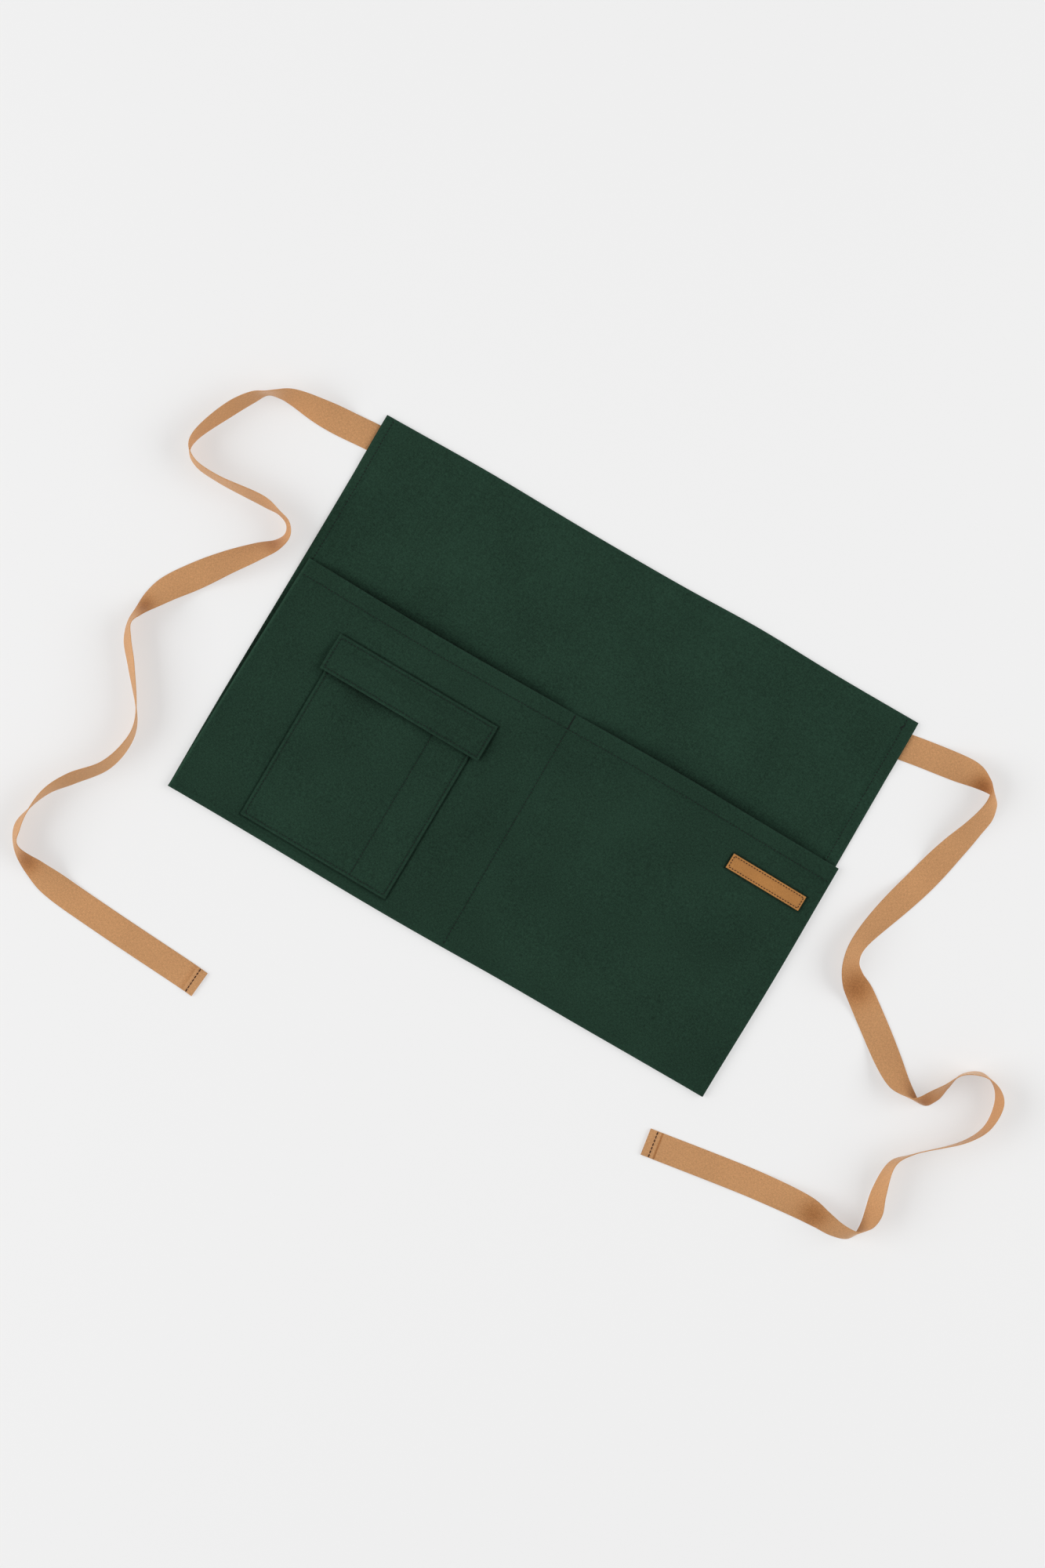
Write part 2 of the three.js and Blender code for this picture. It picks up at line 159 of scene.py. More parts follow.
class ApronSizes(PropertyGroup):
    """Sizes of the cloth, the pockets, the tape and the thread."""

    cloth: length("Cloth", 1.2, "Thickness of one layer")
    gap: length("Gap", 0.3, "Clearance between layers")
    fold_rise: length("Fold rise", 0.9, "Extra height of a folded hem")
    fold_ramp: length("Fold ramp", 2.0, "Run over which a fold dies away")
    side_hem: length("Side hem", 9.0, "Depth of the side hems")
    waist_hem: length("Waist hem", 19.0, "Depth of the waist hem")
    tuck_depth: length("Tuck depth", 26.0, "How far a tie runs under the body")
    tuck_ceiling: length("Tuck ceiling", 1.35, "Height of the body over a tie")
    mouth_left: length("Mouth, left", 47.5, "Height of the mouth's left end")
    mouth_right: length("Mouth, right", 43.5, "Height of the mouth's right end")
    mouth_hem: length("Mouth hem", 15.5, "Depth of the mouth's hem")
    left_inset: length("Left inset", 4.8, "Inset of the mouth's left end")
    right_overhang: length("Right overhang", 3.0, "Overhang of the mouth's right end")
    pocket_seam: length("Pocket seam", 4.0, "Sewn margin at sides and foot")
    pocket_fold: length("Pocket fold", 5.0, "Depth of the turned edge")
    pocket_gape: length("Pocket gape", 7.0, "How far the mouths stand open")
    divider_x: length("Divider", 6.3, "Seam between the pockets")
    divider_seam: length("Divider seam", 4.0, "Width held down by the divider")
    patch_centre: length("Patch centre", -130.5, "Middle of the patch")
    patch_width: length("Patch width", 148.0, "Width of the patch")
    patch_foot: length("Patch foot", -180.5, "Lower edge of the patch")
    patch_mouth: length("Patch mouth", -15.0, "Upper edge, under the flap")
    patch_gape: length("Patch gape", 1.8, "How far the patch stands off")
    patch_fold: length("Patch fold", 7.0, "Depth of the turned edge")
    pen_slot: length("Pen slot", 37.6, "Width of the slot at the right")
    flap_centre: length("Flap centre", -128.75, "Middle of the flap")
    flap_width: length("Flap width", 161.5, "Width of the flap")
    flap_top: length("Flap top", 1.4, "Upper, sewn edge")
    flap_foot: length("Flap foot", -33.7, "Lower, free edge")
    flap_seam: length("Flap seam", 5.0, "Sewn margin at the upper edge")
    flap_thick: length("Flap thickness", 2.0, "Thickness of the doubled cloth")
    flap_lift: length("Flap lift", 4.2, "How far the free edge stands up")
    strip_x: length("Strip, across", 225.4, "Middle of the strip")
    strip_y: length("Strip, up", 0.8, "Middle of the strip")
    strip_width: length("Strip width", 75.0, "Width of the strip")
    strip_height: length("Strip height", 14.3, "Height of the strip")
    strip_thick: length("Strip thickness", 1.6, "Thickness of the leather")
    tape_width: length("Tape width", 25.0, "Width of the ties")
    tape_thick: length("Tape thickness", 1.0, "Thickness of the ties")
    tape_floor: length("Tape clearance", 0.05, "Clearance under the ties")
    stitch_pitch: length("Stitch pitch", 3.07, "Distance from stitch to stitch")
    thread: length("Thread", 0.85, "Width of the thread")
    seam_depth: length("Seam depth", 0.35, "How far a seam draws the cloth in")
    seam_reach: length("Seam reach", 1.1, "Half the width of a drawn-in seam")
    yarn: length("Yarn", 0.62, "Distance from yarn to yarn")
    rib: length("Rib", 0.95, "Distance from rib to rib in the tape")


class ApronColours(PropertyGroup):
    """Colours of the cloth, the tape, the leather, the threads and the floor."""

    canvas: colour("Canvas", (0.0171, 0.0450, 0.0283), "Dark green of the canvas")
    thread: colour("Thread", (0.002, 0.006, 0.004), "Green of the sewing thread")
    tape: colour("Tape", (0.53, 0.277, 0.124), "Tan of the ties")
    leather: colour("Leather", (0.435, 0.197, 0.058), "Tan of the leather strip")
    brown_thread: colour("Brown thread", (0.045, 0.015, 0.006), "Thread of the strip and the ties")
    floor: colour("Floor", (0.40, 0.40, 0.40), "Pale floor, glowing a little")


def sizes():
    """The sizes in use."""
    return bpy.context.scene.apron_sizes


def colours():
    """The colours in use."""
    return bpy.context.scene.apron_colours


# Height rules of the lying cloth, over plan places in metres.
def ease(value, low, high):
    """Smooth rise from 0 at low to 1 at high."""
    share = np.clip((value - low) / (high - low), 0.0, 1.0)
    return share * share * (3.0 - 2.0 * share)


def fold_share(inset, hem):
    """1 on a folded hem, dying away inside it."""
    return 1.0 - ease(inset, hem, hem + sizes().fold_ramp)


def arch(value, low, high):
    """A full arch between two sewn lines."""
    share = np.clip((2.0 * value - low - high) / (high - low), -1.0, 1.0)
    return 1.0 - share**4


def open_towards(value, foot, mouth):
    """Opening of a pocket from its foot to its mouth."""
    share = np.clip((value - foot) / (mouth - foot), 0.0, 1.0)
    return 1.0 - (1.0 - share) ** 2


def drape(x, y, seed, wave, height):
    """Soft unevenness of cloth: a few crossing waves."""
    rng = np.random.default_rng(SEED + seed)
    total = np.zeros_like(x)
    for _ in range(7):
        heading = rng.uniform(0.0, math.pi)
        pitch = wave * rng.uniform(0.6, 1.7)
        phase = rng.uniform(0.0, 2.0 * math.pi)
        along = x * math.cos(heading) + y * math.sin(heading)
        total += np.sin(2.0 * math.pi * along / pitch + phase)
    return height * total / 3.0


def course_of(line):
    """Start, length and heading of a straight line."""
    (x0, y0), (x1, y1) = line
    run = math.hypot(x1 - x0, y1 - y0)
    return x0, y0, run, (x1 - x0) / run, (y1 - y0) / run


def from_line(x, y, line):
    """Distance from plan places to a straight line."""
    x0, y0, run, dx, dy = course_of(line)
    along = np.clip((x - x0) * dx + (y - y0) * dy, 0.0, run)
    return np.hypot(x - x0 - along * dx, y - y0 - along * dy)


def seam_share(x, y, lines, reach=None):
    """1 on the lines, fading beside them within a reach, or a seam's reach."""
    reach = reach or sizes().seam_reach
    share = np.zeros_like(x)
    for line in lines:
        share = np.maximum(share, swell(from_line(x, y, line), 0.0, reach))
    return share


def frame_of(middle, half, low, high):
    """Four lines round an upright rectangle: left, foot, right and top."""
    left, right = middle - half, middle + half
    corners = ((left, high), (left, low), (right, low), (right, high))
    return [(corners[i], corners[(i + 1) % 4]) for i in range(4)]


def swell(value, middle, reach):
    """A soft bump round a middle."""
    return np.exp(-(((value - middle) / reach) ** 2))


def bowed(x, y):
    """Plan places of both panels, with their edges bowed outwards by a few millimetres."""
    left = 1.2 + 3.4 * ease(-y, -150 * MM, 150 * MM)
    right = 2.3 + 1.3 * swell(y, -70 * MM, 85 * MM)
    foot = 0.4 + 2.5 * swell(x, -45 * MM, 130 * MM) + 1.2 * ease(x, 40 * MM, 160 * MM)
    top = 0.3 + 1.6 * swell(x, -170 * MM, 75 * MM) + 2.0 * swell(x, 108 * MM, 55 * MM)
    aside = right * ease(x, 263.5 * MM, RIGHT) - left * ease(-x, 215 * MM, RIGHT)
    upward = top * ease(y, 150 * MM, TOP) - foot * ease(-y, 181 * MM, TOP)
    return x + MM * aside, y + MM * upward


def turned(x, y, pivot, degrees):
    """Plan places turned about a pivot."""
    angle = math.radians(degrees)
    dx, dy = x - pivot[0], y - pivot[1]
    across = pivot[0] + dx * math.cos(angle) - dy * math.sin(angle)
    return across, pivot[1] + dx * math.sin(angle) + dy * math.cos(angle)


def lean(x, y, back=False):
    """Turns upright plan places by the lean of the patch and its flap."""
    s = sizes()
    return turned(x, y, (s.patch_centre, s.patch_mouth), -PATCH_LEAN if back else PATCH_LEAN)


def strip_lean(x, y):
    """Turns upright plan places by the lean of the leather strip."""
    s = sizes()
    return turned(x, y, (s.strip_x, s.strip_y), STRIP_LEAN)


def leaning(lines, turn=lean):
    """Lines of stitches turned by a lean."""
    return [tuple(turn(*end) for end in line) for line in lines]


def mouth_y(x):
    """Height of the pocket mouth, which sags a little at the left."""
    s = sizes()
    share = (x - LEFT) / (RIGHT - LEFT)
    sag = 2.7 * swell(x, -140 * MM, 125 * MM) - swell(x, 110 * MM, 70 * MM)
    return s.mouth_left + (s.mouth_right - s.mouth_left) * share - MM * sag


def sides_at(share):
    """Left and right edge of the pocket panel at shares of its height."""
    s = sizes()
    return LEFT + s.left_inset * share**0.7, RIGHT + s.right_overhang * share


def pocket_sides(x, y):
    """Left and right edge of the pocket panel at plan places."""
    return sides_at(np.clip((y - FOOT) / (mouth_y(x) - FOOT), 0.0, 1.0))


def body_lines():
    """Hem stitches of the body, left and right."""
    s = sizes()
    left, right = LEFT + s.side_hem - MM, RIGHT - s.side_hem + MM
    foot, top = FOOT + 2.0 * MM, TOP - 2.0 * MM
    return [((x, foot), (x, top)) for x in (left, right)]


def pocket_lines():
    """Stitches of the pocket panel: mouth hem, in short runs along the mouth, and divider."""
    s = sizes()
    left = LEFT + s.left_inset + 2.5 * MM
    right = RIGHT + s.right_overhang - 2.5 * MM
    x = np.linspace(left, right, 9)
    hem = list(zip(x, mouth_y(x) - s.mouth_hem + 0.5 * MM))
    divider = ((s.divider_x, FOOT + 2.6 * MM), (s.divider_x, mouth_y(s.divider_x) - MM))
    return list(zip(hem[:-1], hem[1:])) + [divider]


def pen_line():
    """Plan place of the pen slot's seam, upright."""
    s = sizes()
    return s.patch_centre + s.patch_width / 2.0 - s.pen_slot


def patch_lines():
    """Stitches of the patch pocket: both sides, foot and pen slot."""
    s = sizes()
    half = s.patch_width / 2.0 - EDGE_SEAM
    sides = frame_of(s.patch_centre, half, s.patch_foot + EDGE_SEAM, s.patch_mouth)
    pen = ((pen_line(), s.patch_foot + 2.0 * MM), (pen_line(), s.patch_mouth))
    return leaning(sides[:3] + [pen])


def flap_lines():
    """Stitches along the flap's four edges."""
    s = sizes()
    half = s.flap_width / 2.0 - EDGE_SEAM
    return leaning(frame_of(s.flap_centre, half, s.flap_foot + EDGE_SEAM, s.flap_top - EDGE_SEAM))


def strip_lines():
    """Running stitches round the leather strip."""
    s = sizes()
    inset = 1.8 * MM
    half, rise = s.strip_width / 2.0 - inset, s.strip_height / 2.0 - inset
    return leaning(frame_of(s.strip_x, half, s.strip_y - rise, s.strip_y + rise), strip_lean)


def pressed_lines():
    """Lines beside the patch, the flap and the strip, where they press into the cloth."""
    s = sizes()
    out = PRESSED_OUT
    rise = s.strip_height / 2.0 + out
    patch = frame_of(s.patch_centre, s.patch_width / 2.0 + out, s.patch_foot - out, s.patch_mouth)
    flap = frame_of(s.flap_centre, s.flap_width / 2.0 + out, s.flap_foot, s.flap_top + out)
    strip = frame_of(s.strip_x, s.strip_width / 2.0 + out, s.strip_y - rise, s.strip_y + rise)
    return leaning(patch[:3] + [flap[0], flap[2], flap[3]]) + leaning(strip, strip_lean)


def pressed_shade(x, y):
    """Painted shade along the pressed lines, and painted light where a value is negative."""
    shade = np.zeros_like(x)
    for line, depth in zip(pressed_lines(), PRESSED_SHADES):
        shade += depth * swell(from_line(x, y, line), 0.0, PRESSED_REACH)
    return shade


def flap_shade(x, y):
    """Shade below the flap's free edge, deepest left of the middle."""
    s = sizes()
    across, up = lean(x, y, back=True)
    along = (across - s.flap_centre) / s.flap_width
    below = np.clip(s.flap_foot - up, 0.0, None)
    inside = ease(0.5 - np.abs(along), 0.0, 0.03)
    reach = (3.0 + 6.5 * swell(along, -0.2, 0.16)) * MM
    return np.exp(-below / reach) * inside * (0.35 + 0.65 * swell(along, -0.2, 0.28))


def mouth_shade(x, y):
    """Shade on the body just above the pocket mouths."""
    s = sizes()
    above = np.clip(y - mouth_y(x), 0.0, None)
    left = arch(x, LEFT + s.left_inset, s.divider_x)
    right = arch(x, s.divider_x, RIGHT)
    return np.exp(-above / (3.2 * MM)) * np.where(x < s.divider_x, left, 0.75 * right)


def tuck_lift(x, y):
    """Rise of the body over the tucked ends of the ties."""
    s = sizes()
    inset = RIGHT - np.abs(x)
    band = ease(y, 132 * MM, 147 * MM) * (1.0 - ease(y, 182 * MM, TOP))
    return s.tuck_ceiling * (1.0 - ease(inset, s.tuck_depth, 2.0 * s.tuck_depth)) * band


def body_plain(x, y):
    """Top of the body without its seams."""
    s = sizes()
    sides = fold_share(RIGHT - np.abs(x), s.side_hem)
    waist = 1.0 - ease(TOP - y, 0.5 * s.waist_hem, 1.5 * s.waist_hem)
    return tuck_lift(x, y) + s.cloth + s.fold_rise * np.maximum(sides, waist)


def body_top(x, y):
    """Top of the body, with its seams drawn in."""
    s = sizes()
    shown = ease(y, mouth_y(x) - 10 * MM, mouth_y(x) + 25 * MM)
    uneven = drape(x, y, 1, 90 * MM, 0.22 * MM) * shown
    return body_plain(x, y) + uneven - SHALLOW * s.seam_depth * seam_share(x, y, body_lines())


def pocket_under(x, y):
    """Underside of the pocket panel."""
    s = sizes()
    left, right = pocket_sides(x, y)
    first = arch(x, left + s.pocket_seam, s.divider_x - s.divider_seam / 2.0)
    second = arch(x, s.divider_x + s.divider_seam / 2.0, right - s.pocket_seam)
    free = np.where(x < s.divider_x, first, second) * open_towards(y, FOOT + s.pocket_seam, mouth_y(x))
    uneven = drape(x, y, 2, 120 * MM, 1.0 * MM) * free
    return body_plain(x, y) + s.gap + s.pocket_gape * free + uneven


def pocket_top(x, y):
    """Top of the pocket panel, with its seams drawn in."""
    s = sizes()
    left, right = pocket_sides(x, y)
    sides = fold_share(np.minimum(x - left, right - x), s.pocket_fold)
    foot = fold_share(y - FOOT, s.pocket_fold)
    mouth = fold_share(mouth_y(x) - y, s.mouth_hem)
    folds = np.maximum(np.maximum(sides, mouth), foot)
    top = pocket_under(x, y) + s.cloth + s.fold_rise * folds
    pressed = PRESSED_DEPTH * seam_share(x, y, pressed_lines(), PRESSED_REACH)
    return top - s.seam_depth * seam_share(x, y, pocket_lines()) - pressed


def patch_inset(x, y):
    """Distance inwards from the patch's sides and foot."""
    s = sizes()
    across, up = lean(x, y, back=True)
    return np.minimum(s.patch_width / 2.0 - np.abs(across - s.patch_centre), up - s.patch_foot)


def patch_under(x, y):
    """Underside of the patch pocket."""
    s = sizes()
    across, up = lean(x, y, back=True)
    half = s.patch_width / 2.0 - EDGE_SEAM
    wide = arch(across, s.patch_centre - half, pen_line())
    narrow = arch(across, pen_line(), s.patch_centre + half)
    free = np.where(across < pen_line(), wide, narrow)
    free = free * open_towards(up, s.patch_foot + EDGE_SEAM, s.patch_mouth)
    return pocket_top(x, y) + s.gap + s.patch_gape * free


def patch_top(x, y):
    """Top of the patch pocket, with its seams drawn in."""
    s = sizes()
    fold = 0.6 * s.fold_rise * fold_share(patch_inset(x, y), s.patch_fold)
    return patch_under(x, y) + s.cloth + fold - s.seam_depth * seam_share(x, y, patch_lines())


def flap_under(x, y):
    """Underside of the flap, standing up along its free edge."""
    s = sizes()
    across, up = lean(x, y, back=True)
    side = np.abs(across - s.flap_centre) / (s.flap_width / 2.0)
    free = 1.0 - ease(up, s.patch_mouth, s.flap_top - s.flap_seam)
    return pocket_top(x, y) + s.gap + s.flap_lift * (1.0 - 0.45 * side**6) * free


def flap_top(x, y):
    """Top of the flap, with its seams drawn in."""
    s = sizes()
    return flap_under(x, y) + s.flap_thick - s.seam_depth * seam_share(x, y, flap_lines())


def strip_top(x, y):
    """Top of the leather strip, drawn in a little by its stitches."""
    s = sizes()
    drawn = SHALLOW * s.seam_depth * seam_share(x, y, strip_lines())
    return pocket_top(x, y) + s.gap + s.strip_thick - drawn


# Meshes.
def grid_lines(low, high, step, features=()):
    """Places from low to high: even steps, closer at both rims and beside each feature."""
    reach, fine = 4.5 * MM, 0.65 * MM
    rim = np.array((0.15, 0.4, 0.8, 1.3, 2.0, 2.8)) * MM
    parts = [np.linspace(low, high, math.ceil((high - low) / step) + 1), low + rim, high - rim]
    for feature in features:
        parts.append(feature + np.arange(-reach, reach + fine / 2.0, fine))
    places = np.unique(np.round(np.concatenate(parts), 4))
    places = places[(places > low + 0.1 * MM) & (places < high - 0.1 * MM)]
    return np.concatenate(([low], places, [high]))


def placed(name, data):
    """An object in the scene."""
    made = bpy.data.objects.new(name, data)
    bpy.context.scene.collection.objects.link(made)
    return made


def new_object(name, points, faces, material):
    """A smooth mesh object in the scene."""
    mesh = bpy.data.meshes.new(name)
    mesh.from_pydata(points, [], faces)
    mesh.update()
    mesh.shade_smooth()
    mesh.materials.append(material)
    return placed(name, mesh)


def mark(made, name, values):
    """A number for each vertex, read by the materials."""
    made.data.attributes.new(name, "FLOAT", "POINT").data.foreach_set("value", values.ravel())


def cloth_sheet(name, plan, under, over, inset, radius, material, seam_and_shade):
    """A closed sheet over a grid of plan places, rounded along its rim."""
    x, y = plan
    round_off = np.sqrt(1.0 - (1.0 - np.clip(inset / radius, 0.0, 1.0)) ** 2)
    middle = (under + over) / 2.0
    half = (over - under) / 2.0 * round_off
    inner = (slice(1, -1), slice(1, -1))
    upper = np.arange(x.size).reshape(x.shape)
    lower = upper.copy()
    lower[inner] = x.size + np.arange(x[inner].size).reshape(x[inner].shape)
    top = np.stack((x, y, middle + half), axis=-1).reshape(-1, 3)
    bottom = np.stack((x, y, middle - half), axis=-1)[inner].reshape(-1, 3)
    points = np.concatenate((top, bottom))
    quads = quads_of(upper) + [face[::-1] for face in quads_of(lower)]
    made = new_object(name, points.tolist(), quads, material)
    # Marks: a painted highlight along the rounded rim, and the seams' darkening together with painted
    # shade.
    rim = swell(inset, 0.9 * MM, 0.6 * MM)
    mark(made, "rim", np.concatenate((rim.ravel(), rim[inner].ravel())))
    mark(made, "seam_and_shade", np.concatenate((seam_and_shade.ravel(), np.zeros(bottom.shape[0]))))
    return made


def quads_of(index):
    """Faces of a grid of vertex numbers, counter-clockwise from above."""
    corners = (index[:-1, :-1], index[:-1, 1:], index[1:, 1:], index[1:, :-1])
    return np.stack(corners, axis=-1).reshape(-1, 4).tolist()


def stitches_on(lines, pitch, share=0.66):
    """Middle, heading and length of each stitch along straight lines."""
    rows = []
    for line in lines:
        x0, y0, run, dx, dy = course_of(line)
        count = max(1, round(run / pitch))
        for place in (np.arange(count) + 0.5) * run / count:
            rows.append((x0 + dx * place, y0 + dy * place, dx, dy, share * run / count))
    return np.array(rows)


def bar_tack(line, width, pitch):
    """Close stitches laid across a short line."""
    x0, y0, run, dx, dy = course_of(line)
    return np.array([(x0 + dx * p, y0 + dy * p, -dy, dx, width) for p in np.arange(0.0, run, pitch)])


def thread_mesh(name, rows, height, width, material, plan=None):
    """Short threads in one mesh, each a capsule that dips into the cloth at both ends."""
    rings, sides = 5, 6
    lift, sink = 0.30, 0.28
    along = np.linspace(-0.5, 0.5, rings)
    bulge = np.sqrt(np.clip(1.0 - (2.0 * along) ** 4, 0.06, 1.0))
    arc = 1.0 - (2.0 * along) ** 2
    ring = np.arange(sides)
    turn = ring * 2.0 * math.pi / sides
    x = rows[:, 0, None] + rows[:, 2, None] * along * rows[:, 4, None]
    y = rows[:, 1, None] + rows[:, 3, None] * along * rows[:, 4, None]
    z = height(x, y) + width * (lift * arc - sink)
    if plan:
        x, y = plan(x, y)
    radius = width / 2.0 * bulge
    out = radius[:, None] * np.cos(turn)
    rise = radius[:, None] * np.sin(turn)
    points = np.stack((
        x[:, :, None] - rows[:, 3, None, None] * out,
        y[:, :, None] + rows[:, 2, None, None] * out,
        z[:, :, None] + rise[None],
    ), axis=-1)
    faces = []
    for r in range(rings - 1):
        a, b = r * sides + ring, r * sides + (ring + 1) % sides
        faces += np.stack((a, a + sides, b + sides, b), axis=-1).tolist()
    first, last = ring.tolist(), (ring[::-1] + (rings - 1) * sides).tolist()
    shift = rings * sides
    quads = [[v + n * shift for v in face] for n in range(len(rows)) for face in faces + [first, last]]
    return new_object(name, points.reshape(-1, 3).tolist(), quads, material)


def knot_course(route, steps):
    """Even steps along a centripetal curve through the route's points."""
    knots = np.array(route, float)
    ends = np.vstack((2.0 * knots[0] - knots[1], knots, 2.0 * knots[-1] - knots[-2]))
    gaps = np.sqrt(np.linalg.norm(np.diff(ends, axis=0), axis=1))
    t = (np.arange(steps) / steps)[:, None]
    course = []
    for i in range(len(knots) - 1):
        p0, p1, p2, p3 = ends[i:i + 4]
        d0, d1, d2 = gaps[i:i + 3]
        leave = ((p1 - p0) / d0 - (p2 - p0) / (d0 + d1) + (p2 - p1) / d1) * d1
        reach = ((p2 - p1) / d1 - (p3 - p1) / (d1 + d2) + (p3 - p2) / d2) * d1
        cubic = 2.0 * p1 - 2.0 * p2 + leave + reach
        square = -3.0 * p1 + 3.0 * p2 - 2.0 * leave - reach
        course.append(p1 + leave * t + square * t**2 + cubic * t**3)
    course.append(knots[-1:])
    return np.concatenate(course) * (MM, MM, math.pi / 180.0)


def near_places(points, rows):
    """Sum of the values of listed plan places, each fading within its reach."""
    across, up = points[..., 0] / MM, points[..., 1] / MM
    return sum(value * swell(np.hypot(across - x, up - y), 0.0, reach) for x, y, reach, value in rows)


def tape_stations(route):
    """Centre, width direction, face direction and run of the tape at each step of its route."""
    s = sizes()
    course = knot_course(route, TAPE_STEPS)
    flat = np.pad(course * (1.0, 1.0, 0.0), ((HEADING_STEPS, HEADING_STEPS), (0, 0)), mode="edge")
    ahead = flat[2 * HEADING_STEPS:] - flat[:-2 * HEADING_STEPS]
    ahead /= np.linalg.norm(ahead, axis=1)[:, None]
    roll = course[:, 2:]
    up = np.array((0.0, 0.0, 1.0))
    slant = np.radians(near_places(course, SLANTS))[:, None]
    steep = np.cos(slant) * up + np.sin(slant) * ahead
    width = np.cos(roll) * np.cross(up, ahead) + np.sin(roll) * steep
    face = np.cross(ahead, width)
    face /= np.linalg.norm(face, axis=1)[:, None]
    rise = s.tape_width * np.abs(width[:, 2]) + s.tape_thick * np.abs(face[:, 2])
    centre = np.column_stack((course[:, :2], s.tape_floor + rise / 2.0))
    run = np.concatenate(([0.0], np.cumsum(np.linalg.norm(np.diff(centre, axis=0), axis=1))))
    return centre, width, face, run


def tape_mesh(name, route, material):
    """A tape with soft selvedges and a folded end, and its centre line, width direction and run."""
    s = sizes()
    centre, width, face, run = tape_stations(route)
    across = np.array((-1.0, -0.97, -0.9, -0.75, -0.5, -0.25, 0.0, 0.25, 0.5, 0.75, 0.9, 0.97, 1.0))
    selvedge = np.sqrt(1.0 - np.abs(across) ** 12)
    half = s.tape_thick / 2.0 * selvedge
    fold = ease(run, run[-1] - FOLD_START, run[-1] - FOLD_FULL)[:, None] * s.tape_thick
    loop = np.concatenate((across, across[-2:0:-1]))
    aside = loop * s.tape_width / 2.0
    front = np.tile(np.concatenate((half, -half[-2:0:-1])), (len(run), 1))
    front[:, :len(across)] += fold * selvedge
    points = centre[:, None] + width[:, None] * aside[None, :, None] + face[:, None] * front[:, :, None]
    rows, ring = len(run), len(loop)
    index = np.arange(rows * ring).reshape(rows, ring)
    closed = np.column_stack((index, index[:, :1]))
    faces = quads_of(closed) + end_caps(ring, len(across), (rows - 1) * ring)
    made = new_object(name, points.reshape(-1, 3).tolist(), faces, material)
    lay = np.zeros((rows, ring, 3))
    lay[:, :, 0] = run[:, None]
    lay[:, :, 1] = aside
    made.data.attributes.new("lay", "FLOAT_VECTOR", "POINT").data.foreach_set("vector", lay.ravel())
    # Painted highlight on the steep faces; painted shade in the creases and along the fold of the end.
    tilt = np.degrees(np.arccos(np.clip(np.abs(face[:, 2]), 0.0, 1.0)))[:, None]
    fold_shade = swell(run, run[-1] - FOLD_CREASE, 0.5 * MM)[:, None]
    mark(made, "seam_and_shade", near_places(points, CREASE_SHADE) + fold_shade)
    mark(made, "rim", swell(tilt, 90.0, 22.0) * np.ones_like(front))
    return made, centre, width, run


def end_caps(ring, wide, last):
    """Faces that close a tape's first and last row."""
    near, far = [], []
    for i in range(wide - 1):
        low = list(dict.fromkeys((i, (ring - i) % ring, (ring - i - 1) % ring, i + 1)))
        near.append(low[::-1])
        far.append([v + last for v in low])
    return near + far


# Materials.
def add(tree, kind, inputs=None, **settings):
    """A node with its settings, inputs given as values or as sockets to link."""
    node = tree.nodes.new(kind)
    for key, value in settings.items():
        setattr(node, key, value)
    for key, value in (inputs or {}).items():
        if isinstance(value, bpy.types.NodeSocket):
            tree.links.new(value, node.inputs[key])
        else:
            node.inputs[key].default_value = value
    return node


def maths(tree, operation, a, b=0.0):
    """Result of an operation on one or two values."""
    return add(tree, "ShaderNodeMath", {0: a, 1: b}, operation=operation).outputs[0]


def times(tree, a, b):
    """Product of two values."""
    return maths(tree, "MULTIPLY", a, b)


def attribute(tree, name, output="Fac"):
    """A value that the mesh carries."""
    return add(tree, "ShaderNodeAttribute", attribute_name=name).outputs[output]


def new_group(name, inputs, outputs):
    """An empty node group with its sockets, given by name and kind, and its two end nodes."""
    tree = bpy.data.node_groups.new(name, "ShaderNodeTree")
    for side, sockets in (("INPUT", inputs), ("OUTPUT", outputs)):
        for socket, kind in sockets.items():
            tree.interface.new_socket(socket, in_out=side, socket_type="NodeSocket" + kind)
    return tree, tree.nodes.new("NodeGroupInput").outputs, tree.nodes.new("NodeGroupOutput").inputs


def grouped(tree, maker, inputs):
    """Outputs of a node group fed with these inputs. The group is made when it is first used."""
    group = bpy.data.node_groups.get(maker.__name__) or maker(maker.__name__)
    return add(tree, "ShaderNodeGroup", inputs, node_tree=group).outputs


def noise_at(tree, place, stretch, detail):
    """Noise over a place stretched by three factors."""
    spread = add(tree, "ShaderNodeVectorMath", {0: place, 1: stretch}, operation="MULTIPLY")
    node = add(tree, "ShaderNodeTexNoise", {"Vector": spread.outputs[0], "Scale": 1.0, "Detail": detail})
    return node.outputs["Fac"]


def plain_weave(name):
    """Plain weave: yarn height and the dark gaps between the yarns."""
    inputs = {"Place": "Vector", "Pitch": "Float"}
    tree, given, out = new_group(name, inputs, {"Height": "Float", "Gap": "Float"})
    axes = add(tree, "ShaderNodeSeparateXYZ", {0: given["Place"]}).outputs
    turns = maths(tree, "DIVIDE", math.pi, given["Pitch"])
    warp, weft = (maths(tree, "SINE", times(tree, axes[axis], turns)) for axis in "XY")
    side = times(tree, warp, weft)
    pillow = maths(tree, "SQRT", maths(tree, "ABSOLUTE", side))
    tree.links.new(maths(tree, "ADD", pillow, times(tree, side, 0.3)), out["Height"])
    tree.links.new(maths(tree, "SUBTRACT", 1.0, pillow), out["Gap"])
    return tree


